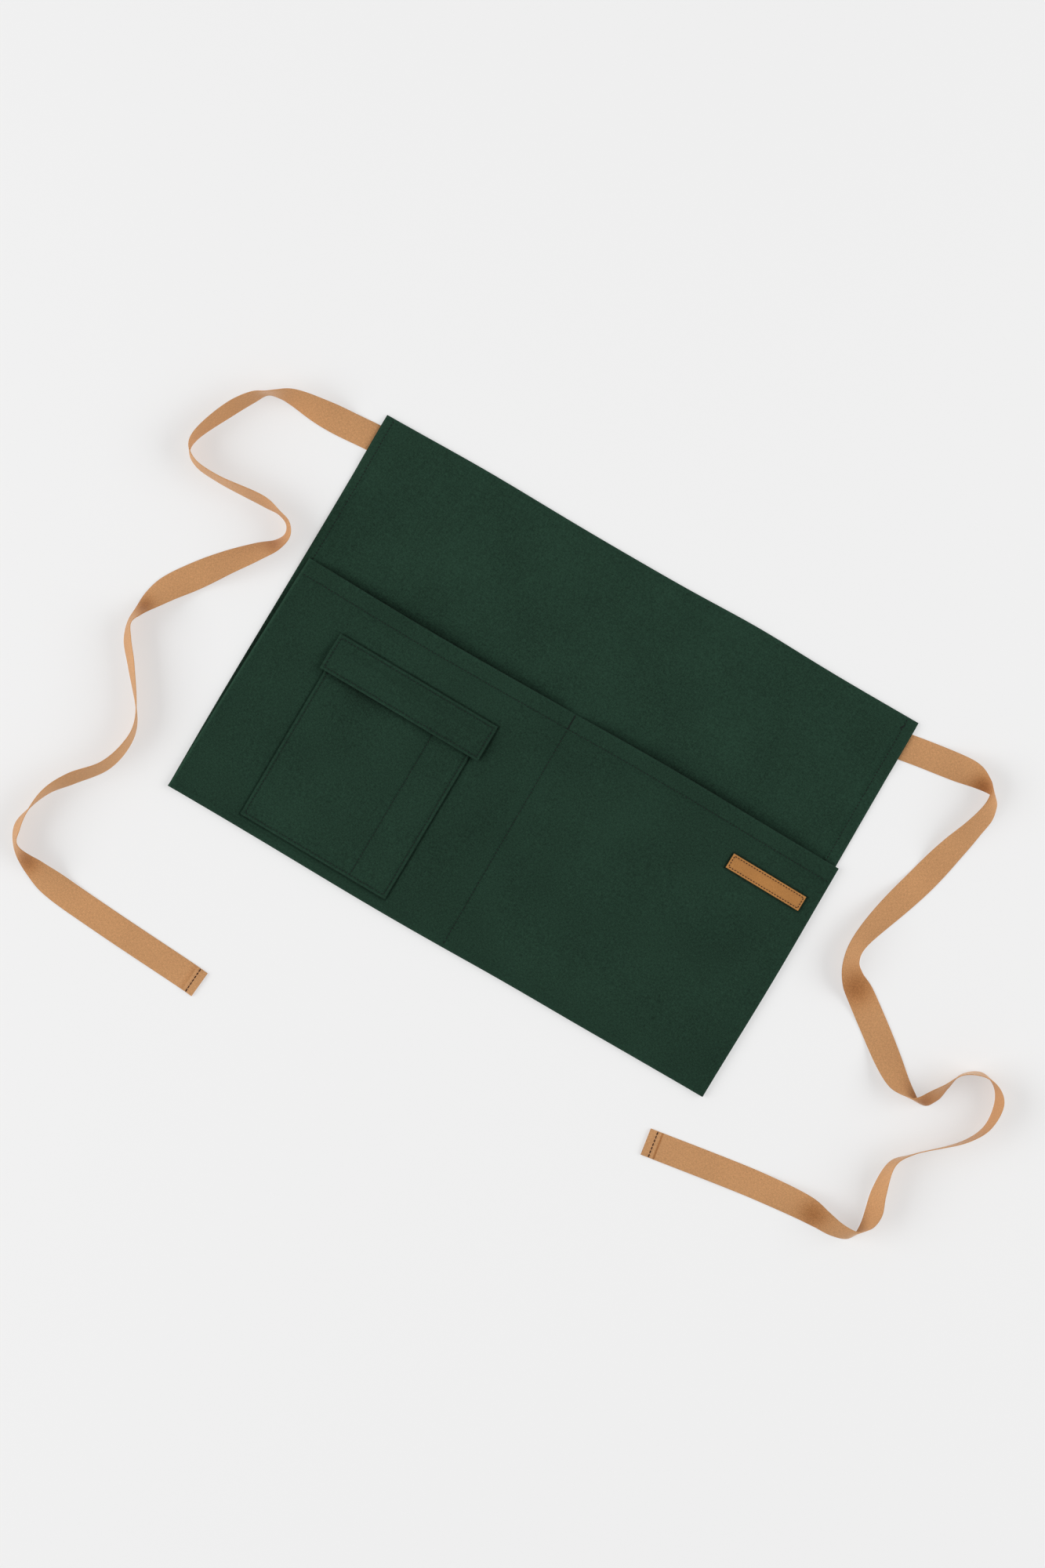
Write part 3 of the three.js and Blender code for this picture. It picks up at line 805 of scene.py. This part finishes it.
def cloth_tone(name):
    """Uneven dye and yarn: thick and thin yarns both ways, and broad soft blotches."""
    inputs = {"Place": "Vector", "Slub": "Float", "Blotch": "Float"}
    tree, given, out = new_group(name, inputs, {"Tone": "Float", "Fibre": "Float"})
    warp = noise_at(tree, given["Place"], (1300.0, 420.0, 300.0), 3.0)
    weft = noise_at(tree, given["Place"], (420.0, 1300.0, 300.0), 3.0)
    broad = noise_at(tree, given["Place"], (16.0, 16.0, 16.0), 1.0)
    fibre = maths(tree, "SUBTRACT", maths(tree, "ADD", warp, weft), 1.0)
    blotch = times(tree, maths(tree, "SUBTRACT", broad, 0.5), given["Blotch"])
    tone = maths(tree, "ADD", times(tree, fibre, given["Slub"]), blotch)
    tree.links.new(maths(tree, "ADD", 1.0, tone), out["Tone"])
    tree.links.new(fibre, out["Fibre"])
    return tree


def seam_wear(name):
    """Colour with a painted highlight along marked rims, such as folded rims, and darker along seams and
    painted shade.
    """
    inputs = {"Color": "Color", "Tone": "Float", "Lighten": "Float", "Darken": "Float"}
    tree, given, out = new_group(name, inputs, {"Color": "Color"})
    light = times(tree, attribute(tree, "rim"), given["Lighten"])
    dark = times(tree, attribute(tree, "seam_and_shade"), given["Darken"])
    factor = maths(tree, "SUBTRACT", maths(tree, "ADD", given["Tone"], light), dark)
    scaled = add(tree, "ShaderNodeVectorMath", {0: given["Color"], "Scale": factor}, operation="SCALE")
    tree.links.new(scaled.outputs[0], out["Color"])
    return tree


def shared(maker, name, *given):
    """The material of this name, made when it is first asked for."""
    return bpy.data.materials.get(name) or maker(name, *given)


def new_material(name, settings):
    """A material with its shader's fixed values set."""
    made = bpy.data.materials.new(name)
    made.use_nodes = True
    shader = made.node_tree.nodes["Principled BSDF"]
    for key, value in settings.items():
        shader.inputs[key].default_value = value
    return made, made.node_tree, shader


def bump(tree, shader, height, distance, strength):
    """Relief of a surface."""
    node = add(tree, "ShaderNodeBump", {"Height": height, "Distance": distance, "Strength": strength})
    tree.links.new(node.outputs[0], shader.inputs["Normal"])


def canvas_material(name, brightness):
    """Dark green canvas in a plain weave, its colour scaled by a brightness for each piece."""
    fixed = {"Specular IOR Level": 0.1, "Sheen Weight": 0.03, "Sheen Roughness": 0.3, "Roughness": 0.95}
    made, tree, shader = new_material(name, fixed)
    place = add(tree, "ShaderNodeTexCoord").outputs["Object"]
    weave = grouped(tree, plain_weave, {"Place": place, "Pitch": sizes().yarn})
    tone = grouped(tree, cloth_tone, {"Place": place, "Slub": 0.95, "Blotch": 0.35})
    shaded = maths(tree, "SUBTRACT", tone["Tone"], times(tree, weave["Gap"], 0.3))
    base = (*(brightness * part for part in colours().canvas), 1.0)
    worn = grouped(tree, seam_wear, {"Color": base, "Tone": shaded, "Lighten": 0.12, "Darken": 0.12})
    tree.links.new(worn["Color"], shader.inputs["Base Color"])
    relief = maths(tree, "ADD", weave["Height"], times(tree, tone["Fibre"], 0.8))
    bump(tree, shader, relief, 0.12 * MM, 0.6)
    return made


def tape_material(name):
    """Tan twill tape with fine diagonal ribs."""
    fixed = {"Specular IOR Level": 0.15, "Sheen Weight": 0.5, "Sheen Roughness": 0.32, "Roughness": 0.9,
             "Sheen Tint": (1.0, 0.91, 0.80, 1.0)}
    made, tree, shader = new_material(name, fixed)
    place = attribute(tree, "lay", "Vector")
    axes = add(tree, "ShaderNodeSeparateXYZ", {0: place}).outputs
    slope = maths(tree, "ADD", axes["X"], axes["Y"])
    rib = maths(tree, "SINE", times(tree, slope, 2.0 * math.pi / sizes().rib))
    tone = grouped(tree, cloth_tone, {"Place": place, "Slub": 0.6, "Blotch": 0.3})
    shaded = maths(tree, "ADD", tone["Tone"], times(tree, rib, 0.05))
    base = (*colours().tape, 1.0)
    worn = grouped(tree, seam_wear, {"Color": base, "Tone": shaded, "Lighten": 0.12, "Darken": 0.15})
    # Painted shade deepens and reddens the colour where the mark is set.
    depth = maths(tree, "ADD", 1.0, times(tree, attribute(tree, "seam_and_shade"), 0.35))
    deep = add(tree, "ShaderNodeGamma", {"Color": worn["Color"], "Gamma": depth})
    tree.links.new(deep.outputs[0], shader.inputs["Base Color"])
    bump(tree, shader, maths(tree, "ADD", rib, tone["Fibre"]), 0.06 * MM, 0.5)
    return made


def leather_material(name):
    """Natural tan leather with a fine grain."""
    made, tree, shader = new_material(name, {"Specular IOR Level": 0.15, "Roughness": 0.7})
    place = add(tree, "ShaderNodeTexCoord").outputs["Object"]
    tone = grouped(tree, cloth_tone, {"Place": place, "Slub": 0.25, "Blotch": 0.9})
    grain = add(tree, "ShaderNodeTexVoronoi", {"Vector": place, "Scale": 900.0}).outputs["Distance"]
    shaded = maths(tree, "SUBTRACT", tone["Tone"], times(tree, grain, 0.14))
    base = (*colours().leather, 1.0)
    worn = grouped(tree, seam_wear, {"Color": base, "Tone": shaded, "Lighten": 0.15, "Darken": 0.1})
    tree.links.new(worn["Color"], shader.inputs["Base Color"])
    bump(tree, shader, grain, 0.15 * MM, 0.5)
    return made


def thread_material(name, value):
    """Sewing thread of one colour."""
    fixed = {"Base Color": (*value, 1.0), "Specular IOR Level": 0.25, "Roughness": 0.7}
    return new_material(name, fixed)[0]


def floor_material():
    """Plain pale floor."""
    fixed = {"Base Color": (*colours().floor, 1.0), "Specular IOR Level": 0.0, "Roughness": 1.0,
             "Emission Color": (1.0, 1.0, 1.0, 1.0), "Emission Strength": 0.475}
    return new_material("floor", fixed)[0]


def settle(made, node=None):
    """Puts a piece on the apron, in place of a solid if one is given."""
    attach(made, "root")
    if node:
        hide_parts(node)


# Operators.
class APRON_OT_stage(Operator):
    """Lay the pale floor, set the soft lights and hang the camera straight above"""

    bl_idname = "apron.stage"
    bl_label = "Stage"

    def execute(self, context):
        scene = context.scene
        scene.view_settings.view_transform = "Standard"
        signs = ((-1.0, -1.0), (1.0, -1.0), (1.0, 1.0), (-1.0, 1.0))
        corners = [(FLOOR_HALF * x, FLOOR_HALF * y, FLOOR_LEVEL) for x, y in signs]
        new_object("floor", corners, [(0, 1, 2, 3)], floor_material())
        world = bpy.data.worlds.new("studio")
        world.use_nodes = True
        tree = world.node_tree
        heading = add(tree, "ShaderNodeTexCoord").outputs["Generated"]
        height = add(tree, "ShaderNodeSeparateXYZ", {0: heading}).outputs["Z"]
        fade = {"Value": height, "To Min": 0.93, "To Max": 0.0}
        glow = add(tree, "ShaderNodeMapRange", fade).outputs[0]
        sky = tree.nodes["Background"].inputs
        tree.links.new(glow, sky["Strength"])
        sky["Color"].default_value = (1.0, 1.0, 1.0, 1.0)
        scene.world = world
        self.softbox("softbox_left", -1.0, 160.0)
        self.softbox("softbox_right", 1.0, 140.0)
        scene.camera = self.camera()
        return {"FINISHED"}

    def softbox(self, name, side, power):
        """Large soft light at one side of the picture, facing the apron."""
        lamp = bpy.data.lights.new(name, "AREA")
        lamp.shape = "RECTANGLE"
        lamp.size, lamp.size_y = 2.8, 4.0
        lamp.energy = power
        made = placed(name, lamp)
        out = side * LAMP_ASIDE
        made.location = (out * math.cos(TURN), out * math.sin(TURN), LAMP_UP)
        made.rotation_euler = (0.0, side * math.atan2(LAMP_ASIDE, LAMP_UP), TURN)

    def camera(self):
        """Camera straight above, turned so that the apron lies aslant."""
        lens = bpy.data.cameras.new("camera")
        lens.lens = 60.0
        lens.sensor_width = 36.0
        made = placed("camera", lens)
        made.location = CAMERA_PLACE
        made.rotation_euler = (0.0, 0.0, TURN)
        return made


class APRON_OT_ties(Operator):
    """Lay both tape ties along their routes, with the stitching at their folded ends"""

    bl_idname = "apron.ties"
    bl_label = "Tape ties"

    def execute(self, context):
        self.tie("tape_left", "tie_left", TIE_LEFT, LEFT)
        self.tie("tape_right", "tie_right", TIE_RIGHT, RIGHT)
        return {"FINISHED"}

    def tie(self, name, node, route, edge):
        """One tie, lying loose along its route."""
        made, centre, width, run = tape_mesh(name, route, shared(tape_material, "twill_tape"))
        settle(made, node)
        sewn = self.end_stitches(name + "_end_stitches", centre, width, run)

    def end_stitches(self, name, centre, width, run):
        """Brown stitches across the folded end of a tie."""
        s = sizes()
        place = run[-1] - FOLD_SEWN
        at = np.searchsorted(run, place)
        share = (place - run[at - 1]) / (run[at] - run[at - 1])
        middle = centre[at - 1] + share * (centre[at] - centre[at - 1])
        reach = width[at] * (s.tape_width / 2.0 - 0.4 * MM)
        line = [((middle - reach)[:2], (middle + reach)[:2])]
        top = s.tape_floor + 2.0 * s.tape_thick
        rows = stitches_on(line, 3.4 * MM, 1.05)
        brown = shared(thread_material, "brown_thread", colours().brown_thread)
        made = thread_mesh(name, rows, lambda x, y: np.full_like(x, top), 1.0 * MM, brown)
        settle(made)
        return made


class APRON_OT_body(Operator):
    """Lay the body panel with its turned hems"""

    bl_idname = "apron.body"
    bl_label = "Body panel"

    def execute(self, context):
        s = sizes()
        sides = (LEFT + s.side_hem, RIGHT - s.side_hem)
        tucks = (LEFT + s.tuck_depth, RIGHT - s.tuck_depth)
        across = grid_lines(LEFT, RIGHT, PANEL_STEP, sides + tucks)
        rows = (TOP - s.waist_hem, *TUCK_ROWS, s.mouth_right + 2 * MM, s.mouth_left + 4 * MM)
        up = grid_lines(FOOT, TOP, PANEL_STEP, rows)
        x, y = np.meshgrid(across, up)
        inset = np.minimum(RIGHT - np.abs(x), TOP - np.abs(y))
        # Painted shade above the pocket mouths and along the left edge beside the pocket.
        left_rim = swell(x - LEFT, 0.0, 4.5 * MM) * swell(y, -40 * MM, 62 * MM)
        hems = SHALLOW * seam_share(x, y, body_lines())
        made = cloth_sheet(
            "body_canvas", bowed(x, y), tuck_lift(x, y), body_top(x, y), inset, radius=1.0 * MM,
            material=shared(canvas_material, "body_weave", 1.0),
            seam_and_shade=hems + MOUTH_SHADE * mouth_shade(x, y) + LEFT_SHADE * left_rim,
        )
        settle(made, "body_panel")
        return {"FINISHED"}


class APRON_OT_pocket(Operator):
    """Lay the pocket panel over the body, gaping at its two mouths"""

    bl_idname = "apron.pocket"
    bl_label = "Pocket panel"

    def execute(self, context):
        s = sizes()
        mouth = (s.mouth_left + s.mouth_right) / 2.0
        sides = [s.divider_x - MESH_SHIFT]
        for centre, width in ((s.patch_centre, s.patch_width), (s.flap_centre, s.flap_width),
                              (s.strip_x, s.strip_width)):
            sides += [centre - width / 2.0, centre + width / 2.0]
        levels = [mouth - s.mouth_hem, FOOT + s.pocket_fold, s.patch_foot, s.flap_top]
        levels += [s.strip_y - s.strip_height / 2.0, s.strip_y + s.strip_height / 2.0]
        across = grid_lines(LEFT, RIGHT, PANEL_STEP, sides)
        up = grid_lines(FOOT, mouth, PANEL_STEP, levels)
        a, b = np.meshgrid(across, up)
        share = (b - FOOT) / (mouth - FOOT)
        left, right = sides_at(share)
        x = left + (right - left) * (a - LEFT) / (RIGHT - LEFT)
        y = FOOT + share * (mouth_y(x) - FOOT)
        inset = np.minimum(np.minimum(x - left, right - x), np.minimum(y - FOOT, mouth_y(x) - y))
        # Painted shade beside the pressed edges, and a painted highlight along the left rim.
        left_rim = swell(x - left, 0.9 * MM, 1.2 * MM)
        made = cloth_sheet(
            "pocket_canvas", bowed(x, y), pocket_under(x, y), pocket_top(x, y), inset, radius=1.1 * MM,
            material=shared(canvas_material, "pocket_weave", 0.92),
            seam_and_shade=seam_share(x, y, pocket_lines()) + pressed_shade(x, y) - LEFT_LIGHT * left_rim,
        )
        settle(made, "pocket_panel")
        return {"FINISHED"}


class APRON_OT_patch(Operator):
    """Lay the patch pocket with its pen slot"""

    bl_idname = "apron.patch"
    bl_label = "Patch pocket"

    def execute(self, context):
        s = sizes()
        half = s.patch_width / 2.0
        left, right = s.patch_centre - half, s.patch_centre + half
        across = grid_lines(left, right, PATCH_STEP, (left + EDGE_FINE, right - EDGE_FINE, pen_line()))
        rows = (s.patch_foot + EDGE_FINE, s.flap_foot - 2 * MM)
        up = grid_lines(s.patch_foot, s.patch_mouth, PATCH_STEP, rows)
        x, y = lean(*np.meshgrid(across, up))
        inset = patch_inset(x, y)
        inset[-1] = 0.0
        # Painted shadow below the flap, added to the seams' darkening.
        made = cloth_sheet(
            "patch_canvas", (x, y), patch_under(x, y), patch_top(x, y), inset, radius=0.9 * MM,
            material=shared(canvas_material, "patch_weave", 0.96),
            seam_and_shade=seam_share(x, y, patch_lines()) + FLAP_SHADE * flap_shade(x, y),
        )
        settle(made, "patch_pocket")
        return {"FINISHED"}


class APRON_OT_flap(Operator):
    """Lay the flap over the patch pocket's mouth"""

    bl_idname = "apron.flap"
    bl_label = "Flap"

    def execute(self, context):
        s = sizes()
        half = s.flap_width / 2.0
        left, right = s.flap_centre - half, s.flap_centre + half
        across = grid_lines(left, right, 2.0 * MM, (left + EDGE_FINE, right - EDGE_FINE))
        rows = (s.flap_foot + EDGE_FINE, s.flap_top - EDGE_FINE)
        a, b = np.meshgrid(across, grid_lines(s.flap_foot, s.flap_top, 1.6 * MM, rows))
        inset = np.minimum(half - np.abs(a - s.flap_centre), np.minimum(b - s.flap_foot, s.flap_top - b))
        x, y = lean(a, b)
        made = cloth_sheet(
            "flap_canvas", (x, y), flap_under(x, y), flap_top(x, y), inset, radius=1.0 * MM,
            material=shared(canvas_material, "pocket_weave", 0.92), seam_and_shade=seam_share(x, y, flap_lines()),
        )
        settle(made, "pocket_flap")
        return {"FINISHED"}


class APRON_OT_strip(Operator):
    """Lay the plain leather strip with its running stitch"""

    bl_idname = "apron.strip"
    bl_label = "Leather strip"

    def execute(self, context):
        s = sizes()
        half, rise = s.strip_width / 2.0, s.strip_height / 2.0
        across = grid_lines(s.strip_x - half, s.strip_x + half, 1.0 * MM)
        up = grid_lines(s.strip_y - rise, s.strip_y + rise, 0.8 * MM)
        a, b = np.meshgrid(across, up)
        inset = np.minimum(half - np.abs(a - s.strip_x), rise - np.abs(b - s.strip_y))
        x, y = strip_lean(a, b)
        under = pocket_top(x, y) + s.gap
        made = cloth_sheet(
            "leather_strip", (x, y), under, strip_top(x, y), inset, radius=0.35 * MM,
            material=shared(leather_material, "tan_leather"), seam_and_shade=seam_share(x, y, strip_lines()),
        )
        settle(made, "label_patch")
        rows = stitches_on(strip_lines(), 2.75 * MM, 0.74)
        brown = shared(thread_material, "brown_thread", colours().brown_thread)
        settle(thread_mesh("strip_stitches", rows, strip_top, 0.9 * MM, brown))
        return {"FINISHED"}


class APRON_OT_stitching(Operator):
    """Sew every seam of the canvas with short threads and bar tacks"""

    bl_idname = "apron.stitching"
    bl_label = "Stitching"

    def execute(self, context):
        s = sizes()
        green = shared(thread_material, "green_thread", colours().thread)
        mouth = mouth_y(s.divider_x)
        tack = ((s.divider_x, mouth - 14 * MM), (s.divider_x, mouth - MM))
        corner = ((0.2605, 0.178), (0.2625, 0.182))
        seams = (
            ("body_stitches", stitches_on(body_lines(), s.stitch_pitch), body_top, bowed),
            ("pocket_stitches", stitches_on(pocket_lines(), s.stitch_pitch), pocket_top, bowed),
            ("patch_stitches", stitches_on(patch_lines(), s.stitch_pitch), patch_top, None),
            ("flap_stitches", stitches_on(flap_lines(), s.stitch_pitch), flap_top, None),
            ("divider_tack", bar_tack(tack, 1.4 * MM, 0.9 * MM), pocket_top, None),
            ("corner_tack", bar_tack(corner, 1.6 * MM, 0.6 * MM), body_top, bowed),
        )
        for name, rows, height, plan in seams:
            settle(thread_mesh(name, rows, height, s.thread, green, plan))
        return {"FINISHED"}


class APRON_PT_panel(Panel):
    """Steps that lay out the apron"""

    bl_idname = "APRON_PT_panel"
    bl_label = "Garden apron"
    bl_space_type = "VIEW_3D"
    bl_region_type = "UI"
    bl_category = "Apron"

    def draw(self, context):
        for step in STEPS:
            self.layout.operator(step.bl_idname)
        for group in (sizes(), colours()):
            column = self.layout.column(align=True)
            for key in group.__annotations__:
                column.prop(group, key)


STEPS = (
    APRON_OT_stage, APRON_OT_ties, APRON_OT_body, APRON_OT_pocket,
    APRON_OT_patch, APRON_OT_flap, APRON_OT_strip, APRON_OT_stitching,
)
CLASSES = (ApronSizes, ApronColours, *STEPS, APRON_PT_panel)


def register():
    """Adds the classes and the scene's settings."""
    for kind in CLASSES:
        bpy.utils.register_class(kind)
    bpy.types.Scene.apron_sizes = PointerProperty(type=ApronSizes)
    bpy.types.Scene.apron_colours = PointerProperty(type=ApronColours)


def unregister():
    """Takes the settings and the classes away again."""
    del bpy.types.Scene.apron_colours
    del bpy.types.Scene.apron_sizes
    for kind in reversed(CLASSES):
        bpy.utils.unregister_class(kind)


def main():
    """Lays out the whole apron."""
    register()
    bpy.ops.apron.stage()
    bpy.ops.apron.ties()
    bpy.ops.apron.body()
    bpy.ops.apron.pocket()
    bpy.ops.apron.patch()
    bpy.ops.apron.flap()
    bpy.ops.apron.strip()
    bpy.ops.apron.stitching()


if __name__ == "__main__":
    main()
